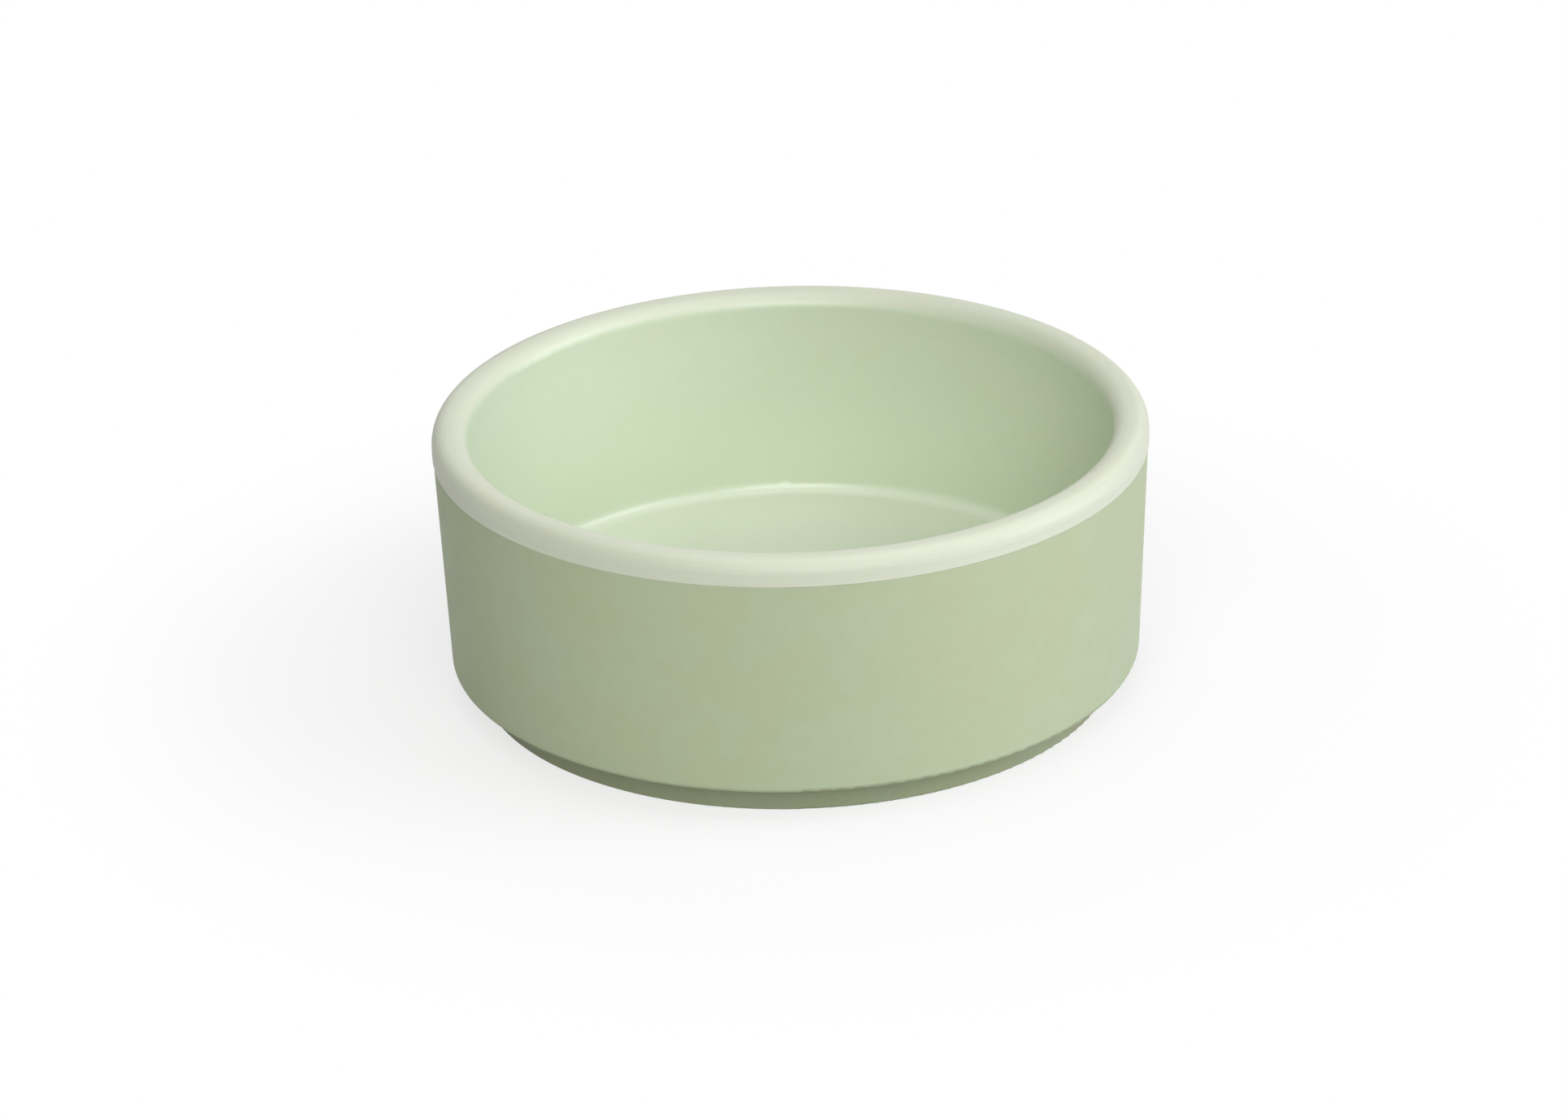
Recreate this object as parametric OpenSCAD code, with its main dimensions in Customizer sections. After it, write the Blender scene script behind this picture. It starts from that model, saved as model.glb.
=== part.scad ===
// Double-wall mixing bowl: an inner bowl with a rounded rim, an outer shell whose
// tongue laps up inside the rim band, and a foot ring that plugs on to a rib under the
// shell. A foot ring also seats in the mouth of another such bowl, so that they stack.
// The origin is the centre of the face that the bowl stands on, with +Z up.
// Every piece is one half-profile in [radius, height], turned about Z.

/* [Overall] */
// Outer diameter over the rim band
rim_d = 140; // [100:1:240]
// Height from the table to the crest of the rim
height = 55; // [40:0.5:110]
// Lean of the walls, narrower at the bottom, in degrees
wall_draft = 2.5; // [1:0.1:5]

/* [Rim] */
// Thickness of the rim across its crest, from the mouth to the band
rim_t = 7; // [6.4:0.1:10]
// Height of the rim band, from its lower edge to the crest
band_h = 5.2; // [4.4:0.1:8]
// Radius of the rim on its outer side
rim_outer_round = 3; // [1.5:0.1:3.6]
// Radius of the rim on its inner side
rim_inner_round = 3.2; // [1.5:0.1:3.8]
// Thickness of the rim between its crest and the shell's tongue
rim_top_t = 2.4; // [1.8:0.1:3]
// Thickness of the skirt that laps down over the shell's tongue
skirt_t = 1.1; // [0.8:0.1:1.4]
// Radius on the lower edge of the rim band
band_edge = 0.2; // [0.1:0.1:0.6]

/* [Inner bowl] */
// Thickness of the inner bowl's wall and floor
liner_t = 2.2; // [1.6:0.1:3]
// Radius between the inner wall and the floor
floor_fillet = 2.7; // [1:0.1:6]

/* [Outer shell] */
// Thickness of the shell's wall and floor
shell_t = 2.2; // [1.8:0.1:3]
// How far the rim band stands proud of the shell's wall
rim_proud = 0.2; // [0.1:0.05:0.5]
// Radius on the bottom edge of the shell's wall
wall_edge = 1; // [0.3:0.1:1.5]
// Radius between the shell's wall and its floor, on the inside
shell_fillet = 2; // [0.5:0.1:4]
// Air gap between the two floors
floor_gap = 1.3; // [0.8:0.1:6]
// Outer diameter of the stand-off ring that carries the inner floor
standoff_d = 70; // [40:1:80]
// Width of the stand-off ring
standoff_w = 2; // [1.2:0.1:4]
// Diameter of the recess under the base, where the moulding was fed
gate_d = 9; // [4:1:20]
// Depth of that recess
gate_depth = 0.4; // [0.2:0.1:0.8]

/* [Foot ring] */
// Height of the foot ring
foot_h = 6.1; // [4.2:0.1:12]
// Width of the foot ring
foot_t = 4; // [3.4:0.1:8]
// Radius on the lower edges of the foot ring
foot_edge = 0.5; // [0.2:0.1:1]
// Thickness of the rib that holds the foot ring
rib_t = 1.4; // [1:0.1:2]
// Length of the rib below the shell
rib_h = 3; // [1.5:0.1:4.5]

/* [Fits] */
// Radial clearance between a foot ring and the mouth that it stacks in
stack_clearance = 0.6; // [0.3:0.1:1.5]
// Straight mouth wall left below the foot ring of a stacked bowl
stack_margin = 1.5; // [0.5:0.1:4]
// Clearance of the shell's tongue in the rim, and on each face of the foot ring's groove
joint_clearance = 0.1; // [0.05:0.05:0.2]

/* [Hidden] */
$fn = 180;
// How far a round of a cup runs into its two straight sides, so that they cross cleanly
blend = 0.0005;
// How far a cutting profile runs past the face that it cuts
past = 1;

// Rim, and the mouth inside it
rim_r = rim_d / 2;
mouth_r = rim_r - rim_t;
band_z = height - band_h;
ceiling_z = height - rim_top_t;
skirt_r = rim_r - skirt_t;
land_z = height - foot_h - stack_margin;

// Foot ring and its rib
foot_r = mouth_r - stack_clearance;
foot_in_r = foot_r - foot_t;
rib_in_r = foot_r - (foot_t + rib_t) / 2;
rib_out_r = rib_in_r + rib_t;
rib_z = foot_h - rib_h;

// Floors, from the shell's underside up
shell_floor_z = foot_h + shell_t;
liner_under_z = shell_floor_z + floor_gap;
floor_z = liner_under_z + liner_t;

// Top of the shell, whose shoulder carries the rim band
shoulder_r = rim_r - rim_proud;
tongue_r = skirt_r - joint_clearance;
tongue_z = ceiling_z - joint_clearance;

// Radius at height z of the shell's outer face, and of the tapered face inside the bowl
function shell_r(z) = shoulder_r - tan(wall_draft) * (band_z - z);
function inside_r(z) = mouth_r - tan(wall_draft) * (land_z - z);

// A rectangle between its lowest and highest corners
module box2d(low, high) {
    translate(low)
        square(high - low);
}

// Half-profile of a filled cup: level at the sharp corner low, up the leaning wall
// through the points of wall, and level again from the last of them to the axis.
// The corner at low is rounded to radius r.
module cup(low, wall, r) {
    up = (wall[0] - low) / norm(wall[0] - low);
    centre = low + [(r * up[0] - r) / up[1], r];
    touch = centre + r * [up[1], -up[0]];
    top = wall[len(wall) - 1];
    polygon(concat([[0, low[1]], [centre[0], low[1]], centre, touch], wall, [[0, top[1]]]));
    translate(centre)
        circle(r = r + blend);
}

// The waste outside a round of radius r on a square corner. Each value of into is 1
// or -1, and points from the corner into the material.
module corner_waste(corner, into, r) {
    centre = corner + r * into;
    difference() {
        translate((corner + centre) / 2)
            square(r, center = true);
        translate(centre)
            circle(r = r);
    }
}

// Food side: floor, inner wall, rounded rim and the band that laps over the shell
module inner_bowl() {
    under = [inside_r(liner_under_z) + liner_t, liner_under_z];
    recess = [[inside_r(ceiling_z) + liner_t, ceiling_z], [skirt_r, ceiling_z], [skirt_r, band_z]];
    band = [[rim_r, band_z], [rim_r, height]];
    floor_corner = [inside_r(floor_z), floor_z];
    mouth = [[mouth_r, land_z], [mouth_r, height + past]];
    color([0.80, 0.86, 0.76])
        rotate_extrude()
            difference() {
                cup(under, concat(recess, band), floor_fillet + liner_t);
                cup(floor_corner, mouth, floor_fillet);
                corner_waste([mouth_r, height], [1, -1], rim_inner_round);
                corner_waste([rim_r, height], [-1, -1], rim_outer_round);
                corner_waste([rim_r, band_z], [-1, 1], band_edge);
            }
}

// Outside: wall and base, a tongue at the top, a rib for the foot ring and a gate recess
// under the base, and a ring on the base that carries the inner floor
module outer_shell() {
    under = [shell_r(foot_h), foot_h];
    shoulder = [[shoulder_r, band_z], [tongue_r, band_z]];
    floor_corner = [shell_r(shell_floor_z) - shell_t, shell_floor_z];
    past_tongue = [[shell_r(tongue_z + past) - shell_t, tongue_z + past]];
    mid_floor_z = foot_h + shell_t / 2;
    standoff_r = standoff_d / 2;
    color([0.69, 0.73, 0.60])
        rotate_extrude()
            union() {
                difference() {
                    cup(under, concat(shoulder, [[tongue_r, tongue_z]]), wall_edge);
                    cup(floor_corner, past_tongue, shell_fillet);
                    box2d([0, foot_h - past], [gate_d / 2, foot_h + gate_depth]);
                }
                box2d([rib_in_r, rib_z], [rib_out_r, mid_floor_z]);
                box2d([standoff_r - standoff_w, mid_floor_z], [standoff_r, liner_under_z]);
            }
}

// Ring that the bowl stands on, pushed up over the shell's rib
module foot_ring() {
    color([0.55, 0.59, 0.46])
        rotate_extrude()
            difference() {
                box2d([foot_in_r, 0], [foot_r, foot_h]);
                box2d([rib_in_r - joint_clearance, rib_z - joint_clearance],
                      [rib_out_r + joint_clearance, foot_h + past]);
                corner_waste([foot_in_r, 0], [1, 1], foot_edge);
                corner_waste([foot_r, 0], [-1, 1], foot_edge);
            }
}

inner_bowl();
outer_shell();
foot_ring();
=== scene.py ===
"""Looks of the mixing bowl: the finish of each piece, the studio round it and the camera.

Lengths are in metres and angles in degrees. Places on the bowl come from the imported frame.
"""

import math

import bpy
from mathutils import Matrix, Vector


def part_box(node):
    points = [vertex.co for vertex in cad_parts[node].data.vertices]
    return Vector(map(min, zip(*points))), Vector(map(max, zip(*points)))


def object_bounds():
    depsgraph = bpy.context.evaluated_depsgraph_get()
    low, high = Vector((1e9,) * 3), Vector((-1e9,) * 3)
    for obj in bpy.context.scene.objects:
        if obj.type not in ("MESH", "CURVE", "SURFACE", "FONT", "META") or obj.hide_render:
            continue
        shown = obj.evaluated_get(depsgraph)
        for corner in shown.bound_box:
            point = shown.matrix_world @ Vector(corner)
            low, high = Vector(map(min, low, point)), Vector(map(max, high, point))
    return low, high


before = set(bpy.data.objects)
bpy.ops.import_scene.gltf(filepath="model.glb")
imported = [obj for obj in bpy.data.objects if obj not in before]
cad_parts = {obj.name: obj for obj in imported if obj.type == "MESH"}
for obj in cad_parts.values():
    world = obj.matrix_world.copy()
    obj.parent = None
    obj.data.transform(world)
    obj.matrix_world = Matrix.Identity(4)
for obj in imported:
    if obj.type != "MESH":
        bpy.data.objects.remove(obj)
CAD_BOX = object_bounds()
MM = 0.001

# Camera: a long lens, a little above the bowl, that looks at AIM
CAMERA_DISTANCE = 1.28
CAMERA_PITCH = 24.24
CAMERA_ROLL = -1.54
CAMERA_LENS_MM = 149.2
SENSOR_MM = 36.0
CLIP_START = 0.05
CLIP_END = 50.0
AIM = Vector((-0.0019, 0.0, 0.0240))

# The floor and the room, as the light that they send to the bowl
FLOOR_SIZE = 12.0
FLOOR_COLOUR = (0.88, 0.88, 0.88)
FLOOR_ROUGHNESS = 0.9
ROOM_COLOUR = (1.0, 1.0, 1.0)
ROOM_STRENGTH = 0.11
# Where the floor is seen, it is this much plain white near the bowl and wholly white further out
FLOOR_WHITENESS = 0.72
FLOOR_FADE = (0.07, 0.16)

# Softboxes: their distance from the bowl's centre, and their tints
SOFTBOX_DISTANCE = 1.2
COOL = (0.99, 0.99, 1.06)
NEUTRAL = (1.0, 1.0, 0.99)
WARM = (1.0, 1.0, 0.97)

# Plastics, as linear colours
MINT_INSIDE = (0.621, 0.700, 0.530)
# The interior's floor: the mint made paler, as painted light for the light and sheen that the floor catches
MINT_FLOOR_LIT = (0.655, 0.716, 0.570)
MINT_CREST = (0.640, 0.678, 0.535)
MINT_BAND = (0.543, 0.575, 0.460)
SAGE = (0.404, 0.459, 0.304)
# The foot ring's colour: the sage made darker, as painted shade under the wall's overhang
FOOT_SHADED_SAGE = (0.275, 0.312, 0.192)
# How strongly each surface reflects, where a plain plastic has 0.5
INSIDE_SHINE = 0.75
RIM_SHINE = 0.45
SAGE_SHINE = 0.12

# Landmarks of the pieces
RIM_TOP = CAD_BOX[1].z
RIM_RADIUS = CAD_BOX[1].x
INNER_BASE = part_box("inner_bowl")[0].z
WALL_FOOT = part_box("foot_ring")[1].z
FOOT_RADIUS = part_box("foot_ring")[1].x

# Zones, as the height or radius where each one begins and the one from where it is full
RIM_HEIGHTS = (RIM_TOP - 3.0 * MM, RIM_TOP - 1.0 * MM)
RIM_RADII = (RIM_RADIUS - 2.4 * MM, RIM_RADIUS - 1.4 * MM)
BAND_RADII = (RIM_RADIUS - 1.8 * MM, RIM_RADIUS - 0.2 * MM)
# Painted light on the interior's floor, paler from just above it downwards
FLOOR_LIGHT_HEIGHTS = (INNER_BASE + 5.0 * MM, INNER_BASE + 2.5 * MM)
# Painted shade on the wall's lower edge, where it turns under above the foot
WALL_EDGE_SHADE_HEIGHTS = (WALL_FOOT + 1.3 * MM, WALL_FOOT + 0.3 * MM)
WALL_EDGE_SHADE_RADII = (FOOT_RADIUS + 2.0 * MM, FOOT_RADIUS + 4.0 * MM)
BASE_HEIGHTS = (WALL_FOOT + 0.8 * MM, WALL_FOOT + 0.5 * MM)
# Painted shade on the foot ring, darker towards the wall above it
FOOT_SHADE_HEIGHTS = (WALL_FOOT * 0.5, WALL_FOOT * 0.9)
SCUFF_HEIGHTS = (1.0 * MM, 0.0)

# Most of a noise's values lie between these two
NOISE_SPREAD = (0.3, 0.7)
# Scale of level places in the streaks' noise, which draws a streak out into a long line round the rim
STREAK_SQUEEZE = 0.006
# Step between the turned rings under the base
RING_PITCH = 0.8 * MM


class Finish:
    """A node material on one principled shader, with short calls for the nodes that it needs."""

    def __init__(self, name):
        self.material = bpy.data.materials.new(name)
        self.material.use_nodes = True
        self.tree = self.material.node_tree
        self.shader = self.tree.nodes["Principled BSDF"]
        self.place = self.node("ShaderNodeTexCoord").outputs["Object"]
        axes = self.node("ShaderNodeSeparateXYZ", {"Vector": self.place}).outputs
        self.x = axes["X"]
        self.y = axes["Y"]
        self.height = axes["Z"]
        level = self.node("ShaderNodeCombineXYZ", {"X": self.x, "Y": self.y}).outputs[0]
        self.radius = self.node("ShaderNodeVectorMath", {0: level}, operation="LENGTH").outputs["Value"]

    def node(self, kind, inputs=None, **settings):
        """Adds a node. An input is a number, a colour, a vector or another node's output."""
        node = self.tree.nodes.new(kind)
        for name, value in settings.items():
            setattr(node, name, value)
        for socket, value in (inputs or {}).items():
            self.put(node.inputs[socket], value)
        return node

    def put(self, socket, value):
        """Links another node's output to a socket, or writes a plain value in it."""
        if isinstance(value, bpy.types.NodeSocket):
            self.tree.links.new(value, socket)
        else:
            socket.default_value = value

    def shade(self, name, value):
        """Sets one input of the shader."""
        self.put(self.shader.inputs[name], value)

    def math(self, operation, first, second):
        """One sum on two values."""
        return self.node("ShaderNodeMath", {0: first, 1: second}, operation=operation).outputs[0]

    def ramp(self, value, low, high, start=0.0, end=1.0):
        """A smooth change from start, where value is low, to end, where value is high."""
        inputs = {"Value": value, "From Min": low, "From Max": high, "To Min": start, "To Max": end}
        return self.node("ShaderNodeMapRange", inputs, interpolation_type="SMOOTHSTEP").outputs["Result"]

    def noise(self, size, detail=2.0, places=None):
        """Noise between 0 and 1 whose features have about this size, at the object's places or others."""
        vector = self.place if places is None else places
        inputs = {"Vector": vector, "Scale": 1.0 / size, "Detail": detail}
        return self.node("ShaderNodeTexNoise", inputs).outputs["Fac"]

    def drift(self, size, detail=2.0, start=0.0, end=1.0):
        """A value that drifts from start to end and back, over patches of about this size."""
        return self.ramp(self.noise(size, detail), *NOISE_SPREAD, start, end)

    def mix(self, factor, low, high):
        """The number low where factor is 0 and the number high where it is 1."""
        inputs = {"Factor": factor, "A": low, "B": high}
        return self.node("ShaderNodeMix", inputs, data_type="FLOAT").outputs["Result"]

    def blend(self, factor, low, high):
        """The colour low where factor is 0 and the colour high where it is 1."""
        node = self.node("ShaderNodeMix", {"Factor": factor}, data_type="RGBA")
        # A mix node's colours go in at its sockets 6 and 7, and come out at its output 2
        for socket, colour in ((node.inputs[6], low), (node.inputs[7], high)):
            self.put(socket, colour if isinstance(colour, bpy.types.NodeSocket) else (*colour, 1.0))
        return node.outputs[2]

    def bump(self, height, depth, under=None):
        """A normal from a height between 0 and 1 that stands for this depth, on top of the one under it."""
        node = self.node("ShaderNodeBump", {"Height": height, "Distance": depth})
        if under is not None:
            self.put(node.inputs["Normal"], under)
        return node.outputs["Normal"]

    def wear(self, name):
        """Puts the material on a CAD node, in place of what it has."""
        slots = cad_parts[name].data.materials
        slots.clear()
        slots.append(self.material)


def toned(colour, light, warm=0.0):
    """A colour made lighter or darker, and warmer (redder and less blue) or cooler."""
    red, green, blue = colour
    return (red * light * (1 + warm), green * light, blue * light * (1 - warm))


def mottled(finish, colour, amount, size):
    """A colour that drifts a little from place to place, over patches and over finer flecks."""
    patches = finish.drift(size, detail=3.0)
    flecks = finish.drift(size / 7)
    dark = finish.blend(flecks, toned(colour, 1 - amount, amount), toned(colour, 1, amount / 2))
    pale = finish.blend(flecks, toned(colour, 1, -amount / 2), toned(colour, 1 + amount, -amount))
    return finish.blend(patches, dark, pale)


def rim_streaks(finish):
    """Streaks that run round the rim: narrow along its profile and long the other way."""
    profile = {
        "X": finish.math("MULTIPLY", finish.x, STREAK_SQUEEZE),
        "Y": finish.math("MULTIPLY", finish.y, STREAK_SQUEEZE),
        "Z": finish.math("SUBTRACT", finish.height, finish.radius),
    }
    drawn = finish.node("ShaderNodeCombineXYZ", profile).outputs[0]
    return finish.ramp(finish.noise(0.4 * MM, detail=3.0, places=drawn), 0.4, 0.7)


def turned_rings(finish):
    """Rings about the bowl's axis, one every RING_PITCH."""
    # A wave texture's rings repeat every 2 pi / (20 * scale)
    inputs = {
        "Vector": finish.place,
        "Scale": 2 * math.pi / (20 * RING_PITCH),
        "Distortion": 0.6,
        "Detail": 1.0,
    }
    rings = finish.node("ShaderNodeTexWave", inputs, wave_type="RINGS", rings_direction="Z")
    return rings.outputs["Fac"]


def mint_satin():
    """The inner bowl: satin inside and paler on its floor as painted light, with a duller rim and a turned
    rim band.
    """
    finish = Finish("mint_satin")
    rim = finish.math(
        "MAXIMUM",
        finish.ramp(finish.height, *RIM_HEIGHTS),
        finish.ramp(finish.radius, *RIM_RADII),
    )
    band = finish.ramp(finish.radius, *BAND_RADII)
    marks = finish.math("MULTIPLY", rim_streaks(finish), band)

    # Painted light: the floor and the foot of its fillet are painted paler, for the light and sheen that
    # they catch
    painted_floor_light = finish.ramp(finish.height, *FLOOR_LIGHT_HEIGHTS)
    inside = finish.blend(painted_floor_light, mottled(finish, MINT_INSIDE, amount=0.010, size=18 * MM), MINT_FLOOR_LIT)
    outside = finish.blend(band, mottled(finish, MINT_CREST, amount=0.012, size=14 * MM), MINT_BAND)
    faint_marks = finish.math("MULTIPLY", marks, 0.4)
    outside = finish.blend(faint_marks, outside, toned(MINT_BAND, light=1.1))
    finish.shade("Base Color", finish.blend(rim, inside, outside))

    satin = finish.drift(9 * MM, detail=3.0, start=0.30, end=0.35)
    dull = finish.ramp(marks, 0.0, 1.0, start=0.46, end=0.54)
    finish.shade("Roughness", finish.mix(rim, satin, dull))
    finish.shade("Specular IOR Level", finish.ramp(rim, 0.0, 1.0, start=INSIDE_SHINE, end=RIM_SHINE))

    grain = finish.bump(finish.noise(0.5 * MM), depth=0.003 * MM)
    finish.shade("Normal", finish.bump(marks, depth=0.004 * MM, under=grain))
    return finish


def sage_satin():
    """The outer shell: a fine even satin, with painted shade along its lower edge where it turns under, and
    turned rings under it.
    """
    finish = Finish("sage_satin")
    edge = finish.math(
        "MULTIPLY",
        finish.ramp(finish.height, *WALL_EDGE_SHADE_HEIGHTS),
        finish.ramp(finish.radius, *WALL_EDGE_SHADE_RADII),
    )
    # Painted shade: the lower edge is darkened in patches where the wall turns under, and made a little
    # rougher there
    painted_shade = finish.math("MULTIPLY", edge, finish.drift(2 * MM, detail=3.0, start=0.3, end=0.6))
    clean = mottled(finish, SAGE, amount=0.025, size=22 * MM)
    finish.shade("Base Color", finish.blend(painted_shade, clean, toned(SAGE, light=0.6, warm=0.05)))

    clouds = finish.drift(12 * MM, detail=3.0, start=0.52, end=0.60)
    finish.shade("Roughness", finish.math("ADD", clouds, finish.math("MULTIPLY", painted_shade, 0.08)))
    finish.shade("Specular IOR Level", SAGE_SHINE)

    under_base = finish.ramp(finish.height, *BASE_HEIGHTS)
    rings = finish.math("MULTIPLY", turned_rings(finish), under_base)
    grain = finish.bump(finish.noise(0.45 * MM), depth=0.004 * MM)
    finish.shade("Normal", finish.bump(rings, depth=0.012 * MM, under=grain))
    return finish


def foot_matte():
    """The foot ring: matte and grained, a sage made darker as painted shade, with more painted shade
    towards the wall and scuffed paler where it stands.
    """
    finish = Finish("foot_matte")
    scratches = finish.ramp(finish.noise(2.5 * MM, detail=4.0), 0.4, 0.65)
    scuffs = finish.math("MULTIPLY", finish.ramp(finish.height, *SCUFF_HEIGHTS), scratches)
    # Painted shade: the foot is darkened towards its top, under the wall's overhang
    painted_shade = finish.ramp(finish.height, *FOOT_SHADE_HEIGHTS)
    # Painted shade: the foot's own colour is a darker copy of the sage
    clean = mottled(finish, FOOT_SHADED_SAGE, amount=0.03, size=12 * MM)
    colour = finish.blend(painted_shade, clean, toned(FOOT_SHADED_SAGE, light=0.68, warm=0.12))
    colour = finish.blend(finish.math("MULTIPLY", scuffs, 0.5), colour, toned(FOOT_SHADED_SAGE, light=1.25))
    finish.shade("Base Color", colour)

    clouds = finish.drift(8 * MM, start=0.58, end=0.66)
    finish.shade("Roughness", finish.math("ADD", clouds, finish.math("MULTIPLY", scuffs, 0.1)))
    finish.shade("Normal", finish.bump(finish.noise(0.35 * MM), depth=0.005 * MM))
    return finish


def make_camera():
    """A camera that looks along +Y and down at AIM, and is rolled about its own axis."""
    pitch = math.radians(CAMERA_PITCH)
    towards = Vector((0.0, math.cos(pitch), -math.sin(pitch)))
    data = bpy.data.cameras.new("camera")
    data.lens = CAMERA_LENS_MM
    data.sensor_width = SENSOR_MM
    data.clip_start = CLIP_START
    data.clip_end = CLIP_END
    camera = bpy.data.objects.new("camera", data)
    bpy.context.scene.collection.objects.link(camera)
    roll = Matrix.Rotation(math.radians(CAMERA_ROLL), 3, "Z")
    turn = towards.to_track_quat("-Z", "Y").to_matrix() @ roll
    camera.matrix_world = Matrix.Translation(AIM - CAMERA_DISTANCE * towards) @ turn.to_4x4()
    bpy.context.scene.camera = camera


def add_softbox(name, azimuth, elevation, width, watts, tint):
    """A square area lamp that faces the bowl. Azimuth 0 is at the camera's side and 90 at its right."""
    around = math.radians(azimuth)
    up = math.radians(elevation)
    away = Vector((math.sin(around) * math.cos(up), -math.cos(around) * math.cos(up), math.sin(up)))
    data = bpy.data.lights.new(name, "AREA")
    data.shape = "SQUARE"
    data.size = width
    data.energy = watts
    data.color = tint
    lamp = bpy.data.objects.new(name, data)
    bpy.context.scene.collection.objects.link(lamp)
    lamp.location = away * SOFTBOX_DISTANCE
    lamp.rotation_euler = (-away).to_track_quat("-Z", "Y").to_euler()


def make_lamps():
    """Most of the light comes from the camera's right and front, and a little from behind and above."""
    add_softbox("side", azimuth=90, elevation=15, width=0.6, watts=4.7, tint=COOL)
    add_softbox("key", azimuth=75, elevation=35, width=0.8, watts=4.9, tint=COOL)
    add_softbox("front", azimuth=0, elevation=35, width=0.8, watts=8.8, tint=NEUTRAL)
    add_softbox("back", azimuth=195, elevation=30, width=0.8, watts=1.5, tint=WARM)
    add_softbox("top", azimuth=0, elevation=89, width=0.8, watts=3.0, tint=WARM)


def seen_rays(tree):
    """1 for a ray that shows a surface: from the camera, in a reflection or through something clear."""
    path = tree.nodes.new("ShaderNodeLightPath")
    seen = path.outputs["Is Camera Ray"]
    for kind in ("Is Glossy Ray", "Is Transmission Ray"):
        either = tree.nodes.new("ShaderNodeMath")
        either.operation = "MAXIMUM"
        tree.links.new(seen, either.inputs[0])
        tree.links.new(path.outputs[kind], either.inputs[1])
        seen = either.outputs[0]
    return seen


def make_floor():
    """A plain pale floor that keeps the bowl's soft shadow and is seen as white further out."""
    bpy.ops.mesh.primitive_plane_add(size=FLOOR_SIZE)
    floor = bpy.context.object
    floor.name = "floor"
    finish = Finish("floor")
    finish.shade("Base Color", (*FLOOR_COLOUR, 1.0))
    finish.shade("Roughness", FLOOR_ROUGHNESS)
    whiteness = finish.ramp(finish.radius, *FLOOR_FADE, start=FLOOR_WHITENESS, end=1.0)
    white = finish.node("ShaderNodeEmission", {"Strength": 1.0}).outputs[0]
    factor = finish.math("MULTIPLY", seen_rays(finish.tree), whiteness)
    seen = finish.node("ShaderNodeMixShader", {0: factor, 1: finish.shader.outputs[0], 2: white}).outputs[0]
    finish.put(finish.tree.nodes["Material Output"].inputs["Surface"], seen)
    floor.data.materials.append(finish.material)


def make_world():
    """A pale room that is white where it is seen."""
    world = bpy.data.worlds.new("studio")
    world.use_nodes = True
    tree = world.node_tree
    room = tree.nodes["Background"]
    room.inputs["Color"].default_value = (*ROOM_COLOUR, 1.0)
    room.inputs["Strength"].default_value = ROOM_STRENGTH
    white = tree.nodes.new("ShaderNodeBackground")
    white.inputs["Color"].default_value = (1.0, 1.0, 1.0, 1.0)
    white.inputs["Strength"].default_value = 1.0
    either = tree.nodes.new("ShaderNodeMixShader")
    tree.links.new(seen_rays(tree), either.inputs[0])
    tree.links.new(room.outputs[0], either.inputs[1])
    tree.links.new(white.outputs[0], either.inputs[2])
    tree.links.new(either.outputs[0], tree.nodes["World Output"].inputs["Surface"])
    bpy.context.scene.world = world


make_camera()
make_floor()
make_world()
make_lamps()
mint_satin().wear("inner_bowl")
sage_satin().wear("outer_shell")
foot_matte().wear("foot_ring")

bpy.context.scene.view_settings.view_transform = "Standard"
